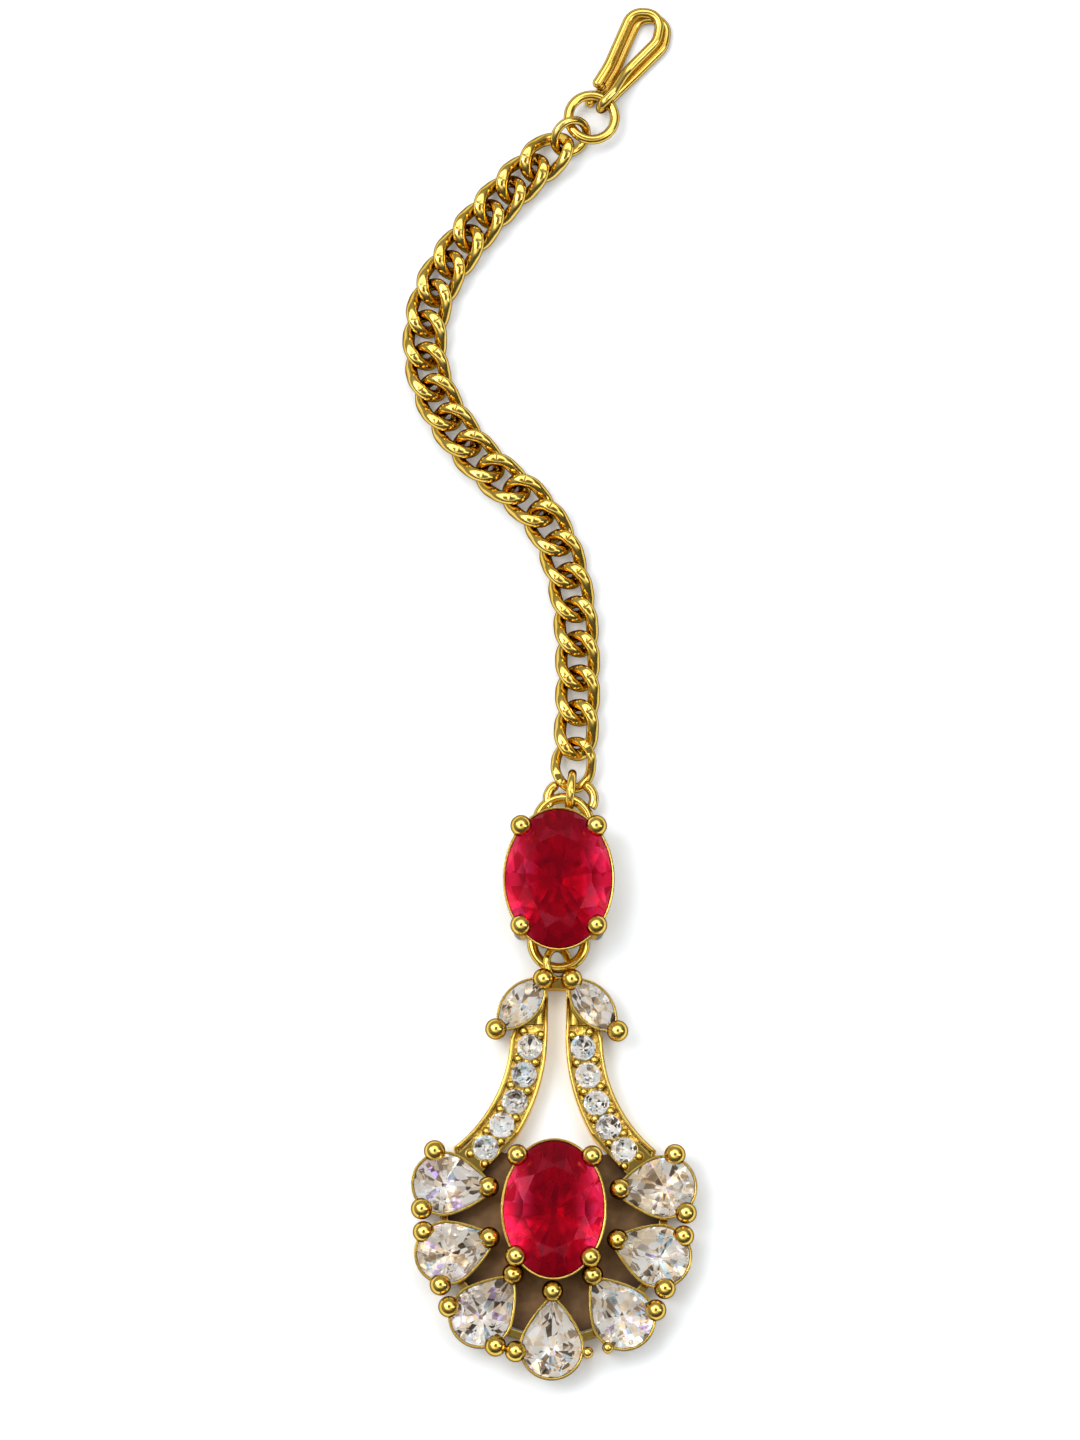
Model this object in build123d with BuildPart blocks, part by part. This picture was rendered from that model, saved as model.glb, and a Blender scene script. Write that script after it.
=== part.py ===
"""Maang tikka: a forehead jewel of a hook, a curb chain, a ruby setting and a fan-shaped drop.

It lies on its back on a table, face up: +Z is up, +Y runs towards the hook and +X is to the
right.  All sizes are millimetres.
"""

from build123d import *
from collections import namedtuple
from math import asin, atan2, cos, degrees, hypot, radians, sin, sqrt, tan
import os

# ---------------------------------------------------------------- driving dimensions
GAP = 0.03                 # clear space between a stone and its metal
GIRDLE = 0.14              # thickness of a stone's girdle band

# wire and chain
WIRE = 0.72                # diameter of the hook and ring wire
# curb link: to the centre of its wire, how far its corners rise and dip, and the half
# thickness that the diamond cut leaves
Curb = namedtuple("Curb", "wire half_length half_width twist flat")
CURB = Curb(0.92, 1.84, 1.19, 0.54, 0.92)
LAST_CURB = Curb(0.72, 1.72, 1.30, 0.45, 0.71)  # the last link is bent from thinner wire
ROUNDED_SHARE = 0.46       # of each side of a link, taken up by the arc at its corner
LINK_COUNT = 22
SLACK_PITCH = 2.42         # links lie closer in the bend near the hook
TAUT_PITCH = 2.588         # and further apart in the straight run
LAST_PITCH = 2.62
LEVEL = 0.93               # height of the links that lie on the table
LIFTED = {1: 1.05, 2: 0.97, 19: 0.95, 20: 0.99, 21: 1.09, 22: 1.20}  # heights at both ends
CHAIN_START = (2.27, 43.87)
CHAIN_HEADING = 217.1
Run = namedtuple("Run", "length turn")
CHAIN_RUNS = [
    Run(13.6, 20.4),
    Run(11.2, 61.3),
    Run(7.9, 24.0),
    Run(6.7, -35.5),
    Run(6.0, -14.6),
    Run(12.0, -10.5),
]

# ring at the hook and the two small rings at the ends of the chain
RING_CENTRE = (3.85, 45.36)
RING_RADIUS = 1.73
RING_LOW = 1.12            # height of its wire in the hook's eye
RING_HIGH = 1.40           # height of its wire over the neck ring
RING_HEADING = 228.0       # from the hook's side to the chain's side
END_RING_WIRE = 0.64
NECK_RING_RADIUS = 1.34
NECK_RING_ROLL = -48.0
NECK_RING_PITCH = 2.28     # to the centre of the first link
DROP_RING_RADIUS = 1.30
DROP_RING_OFFSET = 0.34    # from the last link's end wire to the ring's centre

# hook: one strand's corners, on the upper of two levels, from the free tip round to the eye
HOOK_LOW = 0.36
HOOK_HIGH = 1.12
HOOK_SPREAD = (0.52, -0.27)  # the lower strand lies a little to the right
HOOK_TIP = (4.28, 48.05)
HOOK_CORNERS = [(5.10, 49.40), (6.85, 53.50), (9.10, 53.40), (8.75, 51.30), (6.45, 48.95)]
HOOK_RADII = [6.0, 1.15, 1.05, 1.6, 3.0]
HOOK_LOWER_TIP = (3.70, 46.75)
EYE_HEADING = 48.0         # where on the ring the eye sits
EYE_TURN_RADIUS = 0.74
EYE_RISE = 0.75            # the upper strand passes over the ring from this far outside it
EYE_RISE_RADIUS = 1.0
EYE_RETURN = 1.0           # the lower strand leaves the eye this far outside the ring
HOOK_BEND_RADIUS = 2.0

# cut stones: half width, half length, crown height, pavilion depth, girdle height
Gem = namedtuple("Gem", "half_width half_length crown pavilion girdle_height")
UPPER_RUBY = Gem(3.85, 5.05, 1.10, 3.00, 3.45)
LOWER_RUBY = Gem(3.60, 4.90, 1.05, 2.95, 3.35)
PEAR = Gem(2.13, 2.85, 0.62, 1.80, 2.30)
MARQUISE = Gem(1.19, 2.34, 0.42, 1.15, 1.95)
ROUND = Gem(0.92, 0.92, 0.30, 0.72, 1.72)
SEAT_POINT_SHARE = 0.06    # a seat's outline as a share of the stone's, at the culet
SEAT_GIRDLE_SHARE = 1.04
SEAT_TABLE_SHARE = 0.76
PEAR_TURN = 65.0           # where the round head of a pear passes into its side

# settings
RIM = 0.22                 # collet wall beside the girdle
CUP_FOOT_SHARE = 0.70      # a collet narrows to this share of the stone at its foot
BALL = 0.78                # prong ball radius
POST_SHARE = 0.6           # a prong's post as a share of its ball
RUBY_POST_SHARE = 0.8      # stouter round the rubies
BALL_LIFT = 0.42           # a ruby's prong balls sit this far above its girdle
PEAR_BALL_LIFT = 0.32
PRONG_FOOT_SHARE = 0.98    # a ruby's prongs stand nearly upright
SHOULDER_HEIGHT = 1.25
SHOULDER_WIRE = 0.72
SHOULDER = [(1.50, 5.6), (1.66, 6.5), (1.22, 7.15)]  # from the foot to the free end
UPPER_PLACE = (1.36, -12.31)
UPPER_BALL_X = 2.74
LOWER_BALL_X = 2.70
RUBY_BALL_TOP_Y = 3.82
RUBY_BALL_BOTTOM_Y = 3.48
BAIL_WIRE = 0.76
BAIL_RADIUS = 1.93
BAIL_HEIGHT = 1.25
BAIL_CENTRE_Y = 4.35
BAIL_FOOT_SHARE = 0.6      # its legs start inside the cup
BAIL_SHIFT = 0.34          # the upper bail sits a little to the right

# fan-shaped drop, in its own axes: origin under the lower ruby, +Y towards the chain
DROP_PLACE = (1.00, -36.39)
DROP_LEAN = -0.93
PLATE_RADIUS = 8.25
PLATE_SHIFT = -0.55
PLATE_TOP = 0.55
PLATE_END = 4.3            # its straight upper edge
WELL_CLEAR = 30.0          # side of a square that trims everything beyond a line
Petal = namedtuple("Petal", "fan_angle reach lean inner_reach inner_angle")
PETALS = [
    Petal(0.0, 9.21, 0.0, 5.86, 0.0),
    Petal(33.3, 8.58, 38.5, 5.48, 31.5),
    Petal(67.0, 7.62, 71.5, 5.08, 65.8),
    Petal(103.5, 7.50, 95.0, 5.02, 108.4),
]
OuterBall = namedtuple("OuterBall", "fan_angle reach")
OUTER_BALLS = [
    OuterBall(14.2, 10.57),
    OuterBall(22.3, 10.67),
    OuterBall(46.3, 10.30),
    OuterBall(55.6, 9.81),
    OuterBall(79.5, 9.54),
    OuterBall(89.6, 9.55),
    OuterBall(115.5, 9.63),
]
SMALL_BALL = 0.42          # the two worn tips beside the lowest pear
Bridge = namedtuple("Bridge", "fan_angle reach")
BRIDGE_LENGTH = 1.9
BRIDGE_WIDTH = 0.55
BRIDGE_TOP = 1.35
BRIDGES = [Bridge(17.6, 9.25), Bridge(50.0, 8.45), Bridge(86.6, 7.95)]
ARM_INNER = [(2.80, 5.35), (1.20, 9.0), (0.66, 12.6)]   # arc of the arm's inner edge
ARM_HEAD = [(0.66, 16.4), (1.6, 16.4), (2.6, 14.4)]     # its end beside the marquise
ARM_OUTER = [(3.35, 12.7), (4.36, 8.3), (7.35, 4.50)]   # arc of its outer edge
ARM_FOOT = [(7.10, 3.2), (5.25, 2.75)]                  # its end among the pears
ARM_FLOOR = 1.32
ARM_TOP = 1.80
ARM_RIM = 0.30
CHANNEL_HEAD = 13.6        # the recessed bed of an arm stops here
CHANNEL_FOOT = (5.9, 1.0)  # and at the square block centred here
CHANNEL_FOOT_SIDE = 6.0
ROUND_PLACES = [(1.95, 11.94), (2.33, 9.92), (2.98, 7.92), (3.88, 6.19), (5.01, 4.54)]
BEAD = 0.31
BEAD_TOP = 1.78            # height of a bead's centre
BEAD_ROOT = 0.1            # how deep its post goes into the bed
BEAD_SPREAD = 0.64         # from the middle of the row
MARQUISE_PLACE = (2.60, 15.06)
MARQUISE_LEAN = -49.0
MARQUISE_FOOT_SHARE = 0.80
MARQUISE_RIM = 0.20
MARQUISE_BALLS = [(1.03, 16.86), (4.42, 13.14)]
EYE_PLACE_Y = 18.10        # the ring that hangs on the upper setting's lower bail
EYE_RADIUS = 1.15
EYE_WIRE = 0.56
EYE_ROLL = 45.0            # one side lies over the bail and the other under it
NECK_BAR = (1.90, 0.86, 1.30)   # joins the arms' heads under the ring
NECK_BAR_TOP_Y = 17.10
NECK_BAR_BASE = 0.3

# ---------------------------------------------------------------- stone outlines
# Each outline can be drawn at a share of its size and with a margin round it, so one function
# serves the stone, its seat and its collet.


def oval_face(gem, height, share=1.0, margin=0.0):
    with BuildSketch(Plane.XY.offset(height)) as face:
        Ellipse(gem.half_width * share + margin, gem.half_length * share + margin)
    return face.sketch


def pear_swing():
    """Distance from the head's centre to the centre of the side arc."""
    tip = 2 * PEAR.half_length - PEAR.half_width
    head = PEAR.half_width
    return (tip**2 - head**2) / (2 * (head - tip * cos(radians(PEAR_TURN))))


def pear_face(gem, height, share=1.0, margin=0.0):
    """A pear with its head centred on the origin and its tip towards +X."""
    turn = radians(PEAR_TURN)
    head = gem.half_width * share + margin
    swing = pear_swing() * share
    side = head + swing
    tip = sqrt(side**2 - (swing * sin(turn)) ** 2) - swing * cos(turn)
    tip_turn = asin(swing * sin(turn) / side)
    middle = (turn + tip_turn) / 2
    touch = (head * cos(turn), head * sin(turn))
    bulge = (side * cos(middle) - swing * cos(turn), side * sin(middle) - swing * sin(turn))
    with BuildSketch(Plane.XY.offset(height)) as face:
        with BuildLine():
            ThreePointArc((touch[0], -touch[1]), (-head, 0), touch)
            ThreePointArc(touch, bulge, (tip, 0))
            ThreePointArc((tip, 0), (bulge[0], -bulge[1]), (touch[0], -touch[1]))
        make_face()
    return face.sketch


def marquise_radius(gem):
    return (gem.half_length**2 + gem.half_width**2) / (2 * gem.half_width)


def marquise_face(gem, height, share=1.0, margin=0.0):
    """A pointed oval along X."""
    sink = (marquise_radius(gem) - gem.half_width) * share
    side = marquise_radius(gem) * share + margin
    tip = sqrt(side**2 - sink**2)
    with BuildSketch(Plane.XY.offset(height)) as face:
        with BuildLine():
            ThreePointArc((-tip, 0), (0, side - sink), (tip, 0))
            ThreePointArc((tip, 0), (0, sink - side), (-tip, 0))
        make_face()
    return face.sketch


# How far each outline reaches from its centre in a given direction.


def oval_reach(gem, angle):
    return hypot(gem.half_width * cos(angle), gem.half_length * sin(angle))


def pear_reach(gem, angle):
    turn = radians(PEAR_TURN)
    swing = pear_swing()
    side = gem.half_width + swing
    tip = 2 * gem.half_length - gem.half_width
    away = abs(atan2(sin(angle), cos(angle)))
    if away > turn:
        return gem.half_width
    if away < asin(swing * sin(turn) / side):
        return tip * cos(angle)
    return side - swing * cos(away - turn)


def marquise_reach(gem, angle):
    radius = marquise_radius(gem)
    across = abs(sin(angle))
    if abs(cos(angle)) > gem.half_length / radius:
        return gem.half_length * abs(cos(angle))
    return radius - (radius - gem.half_width) * across


# ---------------------------------------------------------------- cutting a stone
# A row of facets: how many, the turn of the first in steps, and how far out its plane lies at
# the girdle and at the table or culet, as shares of the outline's reach.
Facets = namedtuple("Facets", "count first at_girdle at_end")
CROWN_FACETS = [Facets(8, 0.0, 1.00, 0.62), Facets(8, 0.5, 1.22, 0.58), Facets(16, 0.5, 1.00, 0.74)]
PAVILION_FACETS = [Facets(8, 0.0, 1.00, 0.03), Facets(16, 0.5, 0.995, 0.045)]
SMALL_CROWN = [Facets(8, 0.0, 1.00, 0.62), Facets(8, 0.5, 1.00, 0.66)]
SMALL_PAVILION = [Facets(8, 0.0, 1.00, 0.03)]
MARQUISE_PAVILION = [Facets(8, 0.0, 1.00, 0.03), Facets(8, 0.5, 1.00, 0.05)]
GIRDLE_FACETS = Facets(32, 0.0, 0.997, 0.997)
CULET_SHARE = 0.96         # the pavilion ends in a small flat culet
TOUCH = 1e-6


def facet_planes(gem, reach, rows, depth, side):
    """Point and outward normal of each facet of the crown, side=1, or the pavilion, side=-1."""
    planes = []
    for row in rows:
        for step in range(row.count):
            angle = radians(360 / row.count * (step + row.first))
            far = reach(gem, angle)
            out = far * row.at_girdle
            slope = (row.at_girdle - row.at_end) / depth if depth else 0
            point = Vector(cos(angle) * out, sin(angle) * out, side * GIRDLE / 2)
            normal = Vector(cos(angle) / far, sin(angle) / far, side * slope)
            planes.append((point, normal.normalized()))
    return planes


def cut_away(polygons, point, normal):
    """Cut a convex body, kept as a list of polygons, and close it with the new facet."""
    kept = []
    for polygon in polygons:
        heights = [(corner - point).dot(normal) for corner in polygon]
        heights = [0.0 if abs(height) < TOUCH else height for height in heights]
        left = []
        for index, corner in enumerate(polygon):
            following = (index + 1) % len(polygon)
            if heights[index] <= 0:
                left.append(corner)
            if heights[index] * heights[following] < 0:
                share = heights[index] / (heights[index] - heights[following])
                left.append(corner + (polygon[following] - corner) * share)
        if len(left) > 2 and min(heights) < 0:
            kept.append(left)
    facet = []
    for polygon in kept:
        for corner in polygon:
            on_plane = abs((corner - point).dot(normal)) < TOUCH
            if on_plane and all((corner - other).length > TOUCH for other in facet):
                facet.append(corner)
    if len(facet) > 2:
        middle = sum(facet, Vector()) / len(facet)
        across = (facet[0] - middle).normalized()
        along = normal.cross(across)
        facet.sort(key=lambda corner: atan2((corner - middle).dot(along), (corner - middle).dot(across)))
        kept.append(facet)
    return kept


def rough_block(half_size):
    """The uncut block as six polygons."""
    near, far = -half_size, half_size
    base = [(near, near), (far, near), (far, far), (near, far)]
    polygons = [[Vector(x, y, z) for x, y in base] for z in (near, far)]
    for index, (x, y) in enumerate(base):
        next_x, next_y = base[(index + 1) % 4]
        corners = [(x, y, near), (next_x, next_y, near), (next_x, next_y, far), (x, y, far)]
        polygons.append([Vector(*corner) for corner in corners])
    return polygons


def cut_stone(gem, reach, crown_rows, pavilion_rows):
    """A cut stone about its girdle's centre, table up."""
    planes = facet_planes(gem, reach, [GIRDLE_FACETS], 0, 1)
    planes += facet_planes(gem, reach, crown_rows, gem.crown, 1)
    planes += facet_planes(gem, reach, pavilion_rows, gem.pavilion, -1)
    planes.append((Vector(0, 0, GIRDLE / 2 + gem.crown), Vector(0, 0, 1)))
    planes.append((Vector(0, 0, -GIRDLE / 2 - CULET_SHARE * gem.pavilion), Vector(0, 0, -1)))
    polygons = rough_block(2 * gem.half_length)
    for point, normal in planes:
        polygons = cut_away(polygons, point, normal)
    with BuildPart() as stone:
        add(Solid(Shell([Face(Wire.make_polygon(polygon)) for polygon in polygons])))
    return stone.part


def seat_of(gem, face):
    """The space that a stone and its clearance take up."""
    culet = -GIRDLE / 2 - gem.pavilion
    table = GIRDLE / 2 + gem.crown
    sections = [
        face(gem, culet - GAP, SEAT_POINT_SHARE, GAP),
        face(gem, -GIRDLE / 2 - GAP, SEAT_GIRDLE_SHARE, GAP),
        face(gem, GIRDLE / 2 + GAP, 1.0, GAP),
        face(gem, table + GAP, SEAT_TABLE_SHARE, GAP),
        face(gem, table + BALL, SEAT_TABLE_SHARE, GAP),
    ]
    with BuildPart() as seat:
        loft(sections=sections, ruled=True)
    return seat.part


def cup_of(gem, face, foot_share=CUP_FOOT_SHARE, rim=RIM):
    """A collet: a closed tapered cup from the table's surface up to the girdle."""
    sections = [
        face(gem, -gem.girdle_height, foot_share, rim),
        face(gem, -GIRDLE, 1.0, rim),
        face(gem, GIRDLE / 2, 1.0, rim),
    ]
    with BuildPart() as cup:
        loft(sections=sections, ruled=True)
    return cup.part


upper_ruby_cut = cut_stone(UPPER_RUBY, oval_reach, CROWN_FACETS, PAVILION_FACETS)
lower_ruby_cut = cut_stone(LOWER_RUBY, oval_reach, CROWN_FACETS, PAVILION_FACETS)
pear_cut = cut_stone(PEAR, pear_reach, CROWN_FACETS, PAVILION_FACETS)
marquise_cut = cut_stone(MARQUISE, marquise_reach, SMALL_CROWN, MARQUISE_PAVILION)
round_cut = cut_stone(ROUND, oval_reach, SMALL_CROWN, SMALL_PAVILION)

# ---------------------------------------------------------------- chain
pieces = []


def finish(part, label):
    part.label = label
    pieces.append(part)
    return part


def place_on(x, y, z, heading=0.0, tilt=0.0, roll=0.0):
    """A place whose X points along the heading, tipped up by tilt and turned about X by roll."""
    return Location((x, y, z)) * Location((0, 0, 0), (0, 0, 1), heading) \
        * Location((0, 0, 0), (0, 1, 0), -tilt) * Location((0, 0, 0), (1, 0, 0), roll)


def chain_point(distance):
    """Place and heading on the chain's centre line, a row of tangent arcs."""
    x, y = CHAIN_START
    heading = radians(CHAIN_HEADING)
    for run in CHAIN_RUNS:
        used = min(distance, run.length)
        radius = run.length / radians(run.turn)
        after = heading + used / radius
        x += radius * (sin(after) - sin(heading))
        y -= radius * (cos(after) - cos(heading))
        heading = after
        distance -= used
        if distance <= 0:
            break
    return x, y, degrees(heading)


def largest_radii(points):
    """For each corner of a closed path, nearly the largest arc that its two runs allow."""
    radii = []
    for index, corner in enumerate(points):
        before = Vector(*points[index - 1]) - Vector(*corner)
        after = Vector(*points[(index + 1) % len(points)]) - Vector(*corner)
        half_turn = radians(180 - before.get_angle(after)) / 2
        radii.append(ROUNDED_SHARE * min(before.length, after.length) / tan(half_turn))
    return radii


def wire_along(path, diameter):
    """A round wire along straight runs and arcs, each an exact cylinder or torus."""
    with BuildPart() as wire:
        for edge in path.edges():
            start = edge @ 0
            along = edge % 0
            with BuildSketch(Plane(origin=start, z_dir=along)):
                Circle(diameter / 2)
            if edge.geom_type == GeomType.CIRCLE:
                axis = Axis(edge.arc_center, (start - edge.arc_center).cross(along))
                revolve(axis=axis, revolution_arc=degrees(edge.length / edge.radius))
            else:
                extrude(amount=edge.length)
    return wire.part


def link_of(curb):
    """A twisted link: eight corners, rounded off, that rise and dip in pairs."""
    corners = []
    grow = 1 / cos(radians(22.5))
    for corner in range(8):
        angle = radians(45 * corner + 22.5)
        x = curb.half_length * grow * cos(angle)
        y = curb.half_width * grow * sin(angle)
        corners.append((x, y, -curb.twist if sin(2 * angle) > 0 else curb.twist))
    with BuildLine() as path:
        FilletPolyline(*corners, radius=largest_radii(corners), close=True)
    with BuildPart() as link:
        add(wire_along(path.wire(), curb.wire))
        split(bisect_by=Plane.XY.offset(curb.flat), keep=Keep.BOTTOM)
        split(bisect_by=Plane.XY.offset(-curb.flat), keep=Keep.TOP)
    return link.part


link = link_of(CURB)
last_link = link_of(LAST_CURB)
distance = NECK_RING_PITCH
for number in range(1, LINK_COUNT + 1):
    x, y, heading = chain_point(distance)
    place = place_on(x, y, LIFTED.get(number, LEVEL), heading)
    shape = last_link if number == LINK_COUNT else link
    finish(shape.moved(place), f"link_{number:02d}")
    share = (number - 1) / (LINK_COUNT - 3)
    pitch = SLACK_PITCH + (TAUT_PITCH - SLACK_PITCH) * share
    distance += LAST_PITCH if number == LINK_COUNT - 1 else pitch
last_x, last_y, last_heading = x, y, radians(heading)
print("last link at", round(last_x, 2), round(last_y, 2), "heading", round(heading, 1))

# ---------------------------------------------------------------- rings
with BuildPart() as neck_ring:
    Torus(NECK_RING_RADIUS, END_RING_WIRE / 2)
neck_height = NECK_RING_RADIUS * abs(sin(radians(NECK_RING_ROLL))) + END_RING_WIRE / 2
neck_place = place_on(*CHAIN_START, neck_height, CHAIN_HEADING, 0, NECK_RING_ROLL)
finish(neck_ring.part.moved(neck_place), "neck_ring")

with BuildPart() as drop_ring:
    Torus(DROP_RING_RADIUS, END_RING_WIRE / 2)
ahead = LAST_CURB.half_length + DROP_RING_OFFSET
drop_ring_x = last_x + ahead * cos(last_heading)
drop_ring_y = last_y + ahead * sin(last_heading)
drop_ring_height = DROP_RING_RADIUS + END_RING_WIRE / 2
drop_ring_place = place_on(drop_ring_x, drop_ring_y, drop_ring_height, degrees(last_heading), 0, 90)
finish(drop_ring.part.moved(drop_ring_place), "drop_ring")
print("drop ring at", round(drop_ring_x, 2), round(drop_ring_y, 2))

with BuildPart() as top_ring:
    Torus(RING_RADIUS, WIRE / 2)
ring_tilt = degrees(asin((RING_HIGH - RING_LOW) / (2 * RING_RADIUS)))
ring_place = place_on(*RING_CENTRE, (RING_HIGH + RING_LOW) / 2, RING_HEADING, ring_tilt)
finish(top_ring.part.moved(ring_place), "top_ring")

# ---------------------------------------------------------------- hook
# A doubled wire: the upper strand runs from the free tip round the top to the eye, turns down
# through the ring and runs back below itself.
eye_x = RING_CENTRE[0] + RING_RADIUS * cos(radians(EYE_HEADING))
eye_y = RING_CENTRE[1] + RING_RADIUS * sin(radians(EYE_HEADING))


def beside_eye(distance, height):
    """A point in the eye's upright plane, distance outwards from the ring's wire."""
    angle = radians(EYE_HEADING)
    return (eye_x + distance * cos(angle), eye_y + distance * sin(angle), height)


def lower(point):
    return (point[0] + HOOK_SPREAD[0], point[1] + HOOK_SPREAD[1], HOOK_LOW)


eye_top = RING_LOW + EYE_TURN_RADIUS + GAP
eye_bottom = HOOK_LOW
hook_route = [(*HOOK_TIP, HOOK_HIGH)]
hook_route += [(*corner, HOOK_HIGH) for corner in HOOK_CORNERS]
hook_route += [beside_eye(EYE_RISE, eye_top), beside_eye(-EYE_TURN_RADIUS, eye_top)]
hook_route += [beside_eye(-EYE_TURN_RADIUS, eye_bottom), beside_eye(EYE_RETURN, eye_bottom)]
hook_route += [lower(corner) for corner in reversed(HOOK_CORNERS)]
hook_route += [lower(HOOK_TIP), HOOK_LOWER_TIP + (HOOK_LOW,)]
hook_radii = HOOK_RADII + [EYE_RISE_RADIUS, EYE_TURN_RADIUS, EYE_TURN_RADIUS, HOOK_BEND_RADIUS]
hook_radii += HOOK_RADII[::-1] + [HOOK_BEND_RADIUS]

with BuildLine() as hook_path:
    FilletPolyline(*hook_route, radius=hook_radii)

with BuildPart() as hook:
    add(wire_along(hook_path.wire(), WIRE))
    with Locations(hook_path.wire() @ 0, hook_path.wire() @ 1):
        Sphere(WIRE / 2)
    with Locations(Vector(*HOOK_TIP, (HOOK_LOW + HOOK_HIGH) / 2) + Vector(*HOOK_SPREAD, 0) / 2):
        Sphere(WIRE / 2)
finish(hook.part, "hook")

# ---------------------------------------------------------------- upper setting
upper_cup = cup_of(UPPER_RUBY, oval_face)
upper_seat = seat_of(UPPER_RUBY, oval_face)


def prong(foot, tip, ball=BALL, post_share=POST_SHARE):
    """A round post with a ball on its tip."""
    lean = Vector(*tip) - Vector(*foot)
    with BuildPart() as post:
        with BuildSketch(Plane(origin=foot, z_dir=lean)):
            Circle(ball * post_share)
        extrude(amount=lean.length)
        with Locations(tip):
            Sphere(ball)
    return post.part


def ruby_prongs(gem, ball_x):
    """Four prongs that stand beside the cup and close over the girdle."""
    ball_z = gem.girdle_height + BALL_LIFT
    posts = []
    for x in (-ball_x, ball_x):
        for y in (-RUBY_BALL_BOTTOM_Y, RUBY_BALL_TOP_Y):
            foot = (x * PRONG_FOOT_SHARE, y * PRONG_FOOT_SHARE, 0)
            posts.append(prong(foot, (x, y, ball_z), BALL, RUBY_POST_SHARE))
    return posts


with BuildPart() as upper_setting:
    add(upper_cup.moved(Location((0, 0, UPPER_RUBY.girdle_height))))
    for post in ruby_prongs(UPPER_RUBY, UPPER_BALL_X):
        add(post)
    for end, shift in ((1, BAIL_SHIFT), (-1, 0)):
        with BuildLine(Plane.XY.offset(BAIL_HEIGHT)) as bail_path:
            foot = BAIL_FOOT_SHARE * BAIL_CENTRE_Y * end
            centre = BAIL_CENTRE_Y * end
            Line((shift - BAIL_RADIUS, foot), (shift - BAIL_RADIUS, centre))
            ThreePointArc(
                (shift - BAIL_RADIUS, centre),
                (shift, centre + BAIL_RADIUS * end),
                (shift + BAIL_RADIUS, centre),
            )
            Line((shift + BAIL_RADIUS, centre), (shift + BAIL_RADIUS, foot))
        add(wire_along(bail_path.wire(), BAIL_WIRE))
    for side in (-1, 1):
        with BuildLine(Plane.XY.offset(SHOULDER_HEIGHT)) as shoulder_path:
            ThreePointArc(*[(drop_ring_x - UPPER_PLACE[0] + side * x, y) for x, y in SHOULDER])
        add(wire_along(shoulder_path.wire(), SHOULDER_WIRE))
        with Locations(shoulder_path.wire() @ 1):
            Sphere(SHOULDER_WIRE / 2)
    add(upper_seat.moved(Location((0, 0, UPPER_RUBY.girdle_height))), mode=Mode.SUBTRACT)
    split(bisect_by=Plane.XY, keep=Keep.TOP)

upper_place = Location((*UPPER_PLACE, 0))
upper_stone_place = upper_place * Location((0, 0, UPPER_RUBY.girdle_height))
finish(upper_setting.part.moved(upper_place), "upper_setting")
finish(upper_ruby_cut.moved(upper_stone_place), "upper_ruby")

# ---------------------------------------------------------------- fan-shaped drop
lower_cup = cup_of(LOWER_RUBY, oval_face)
lower_seat = seat_of(LOWER_RUBY, oval_face)
pear_cup = cup_of(PEAR, pear_face)
pear_seat = seat_of(PEAR, pear_face)
marquise_cup = cup_of(MARQUISE, marquise_face, MARQUISE_FOOT_SHARE, MARQUISE_RIM)
marquise_seat = seat_of(MARQUISE, marquise_face)
round_seat = seat_of(ROUND, oval_face)


def fan_point(angle, reach, height=0.0):
    """A point of the fan, its angle measured from straight down towards the right."""
    return (reach * sin(radians(angle)), -reach * cos(radians(angle)), height)


def pear_place(petal, side, height):
    """Places a pear's head so that the middle of its length is at the petal's reach."""
    x, y, _ = fan_point(side * petal.fan_angle, petal.reach)
    outward = -90 + side * petal.lean
    head_out = PEAR.half_length - PEAR.half_width
    x += head_out * cos(radians(outward))
    y += head_out * sin(radians(outward))
    return place_on(x, y, height, outward + 180)


def mirrored_sides(angle):
    return (1,) if angle == 0 else (-1, 1)


pear_places = []
for petal in PETALS:
    for side in mirrored_sides(petal.fan_angle):
        pear_places.append(pear_place(petal, side, PEAR.girdle_height))

marquise_places = [
    place_on(side * MARQUISE_PLACE[0], MARQUISE_PLACE[1], MARQUISE.girdle_height, side * MARQUISE_LEAN)
    for side in (-1, 1)
]
round_places = {
    side: [Location((side * x, y, ROUND.girdle_height)) for x, y in ROUND_PLACES] for side in (-1, 1)
}


def bead_places():
    """Two beads between each pair of small stones, and two past each end of the row."""
    row = [Vector(*place) for place in ROUND_PLACES]
    row = [row[0] * 2 - row[1]] + row + [row[-1] * 2 - row[-2]]
    places = []
    for before, after in zip(row, row[1:]):
        middle = (before + after) / 2
        along = (after - before).normalized()
        across = Vector(-along.Y, along.X) * BEAD_SPREAD
        places += [middle + across, middle - across]
    return places


def arm_outline():
    """The right arm from above: straight beside the slot, then curving out to the fan."""
    with BuildSketch() as outline:
        with BuildLine():
            Polyline(ARM_INNER[-1], *ARM_HEAD, ARM_OUTER[0])
            ThreePointArc(*ARM_OUTER)
            Polyline(ARM_OUTER[-1], *ARM_FOOT, ARM_INNER[0])
            ThreePointArc(*ARM_INNER)
        make_face()
    return outline.sketch


def arm_channel():
    """The recessed bed of the arm, inside its raised rims."""
    with BuildSketch() as channel:
        add(arm_outline())
        offset(amount=-ARM_RIM, kind=Kind.INTERSECTION)
        with Locations((0, CHANNEL_HEAD)):
            Rectangle(WELL_CLEAR, WELL_CLEAR, align=(Align.CENTER, Align.MIN), mode=Mode.SUBTRACT)
        with Locations(CHANNEL_FOOT):
            Rectangle(CHANNEL_FOOT_SIDE, CHANNEL_FOOT_SIDE, rotation=45, mode=Mode.SUBTRACT)
    return channel.sketch


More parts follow.
